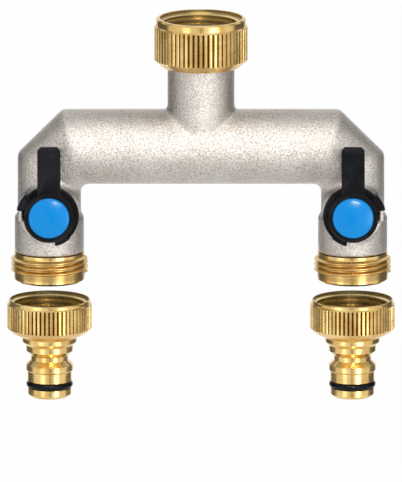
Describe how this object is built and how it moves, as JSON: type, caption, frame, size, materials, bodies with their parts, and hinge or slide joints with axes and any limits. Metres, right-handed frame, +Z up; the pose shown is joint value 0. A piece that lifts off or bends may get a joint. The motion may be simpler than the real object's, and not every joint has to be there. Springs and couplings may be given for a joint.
{
  "type": "hose splitter",
  "caption": "Garden hose splitter: knurled tap nut on a cast arch whose legs carry lever ball valves, threaded outlets and quick-connect tap connectors.",
  "frame": {"origin": "centre of the inlet washer's upper face, which is the inner end of the nut's thread", "axes": "+Z up the inlet thread to the tap, +X to the viewer's right along the arms, the valve handles face -Y"},
  "size_m": [0.1322, 0.0354, 0.1317],
  "materials": {
    "nickel": "sandblasted nickel plate",
    "brass": "turned",
    "steel": "plain",
    "chrome": "polished",
    "rubber": "satin",
    "ptfe": "matte",
    "black_plastic": "satin",
    "blue_plastic": "gloss"
  },
  "bodies": {
    "manifold": {"splitter_body": "nickel", "nut_retaining_ring": "steel", "inlet_washer": "rubber", "left_upstream_seat": "ptfe", "left_downstream_seat": "ptfe", "left_outlet_adapter": "brass", "left_adapter_seal": "rubber", "right_upstream_seat": "ptfe", "right_downstream_seat": "ptfe", "right_outlet_adapter": "brass", "right_adapter_seal": "rubber"},
    "inlet_nut": {"inlet_nut": "brass"},
    "left_valve": {"left_ball": "chrome", "left_stem": "brass", "left_stem_orings": "rubber", "left_thrust_washer": "ptfe", "left_handle": "black_plastic", "left_handle_screw": "steel", "left_handle_cap": "blue_plastic"},
    "left_washer": {"left_connector_washer": "rubber"},
    "left_connector": {"left_connector": "brass", "left_connector_oring": "rubber"},
    "right_valve": {"right_ball": "chrome", "right_stem": "brass", "right_stem_orings": "rubber", "right_thrust_washer": "ptfe", "right_handle": "black_plastic", "right_handle_screw": "steel", "right_handle_cap": "blue_plastic"},
    "right_washer": {"right_connector_washer": "rubber"},
    "right_connector": {"right_connector": "brass", "right_connector_oring": "rubber"}
  },
  "joints": [
    {"name": "inlet_nut_swivel", "type": "hinge", "parent": "manifold", "child": "inlet_nut", "pos_m": [0, 0, 0], "axis": [0, 0, 1], "continuous": true},
    {"name": "left_valve_turn", "type": "hinge", "parent": "manifold", "child": "left_valve", "pos_m": [-0.0517, 0, -0.0596], "axis": [0, 1, 0], "range_deg": [0, 90]},
    {"name": "left_connector_travel", "type": "slide", "parent": "manifold", "child": "left_washer", "axis": [0, 0, 1], "range_m": [0, 0.0149]},
    {"name": "left_connector_turn", "type": "hinge", "parent": "left_washer", "child": "left_connector", "pos_m": [-0.0517, 0, -0.1019], "axis": [0, 0, 1], "range_deg": [0, 2957]},
    {"name": "right_valve_turn", "type": "hinge", "parent": "manifold", "child": "right_valve", "pos_m": [0.0517, 0, -0.0596], "axis": [0, -1, 0], "range_deg": [0, 90]},
    {"name": "right_connector_travel", "type": "slide", "parent": "manifold", "child": "right_washer", "axis": [0, 0, 1], "range_m": [0, 0.0149]},
    {"name": "right_connector_turn", "type": "hinge", "parent": "right_washer", "child": "right_connector", "pos_m": [0.0517, 0, -0.1019], "axis": [0, 0, 1], "range_deg": [0, 2957]}
  ],
  "couplings": [
    {"joint": "left_connector_travel", "follows": "left_connector_turn", "m_per_rad": 0.00028871},
    {"joint": "right_connector_travel", "follows": "right_connector_turn", "m_per_rad": 0.00028871}
  ]
}
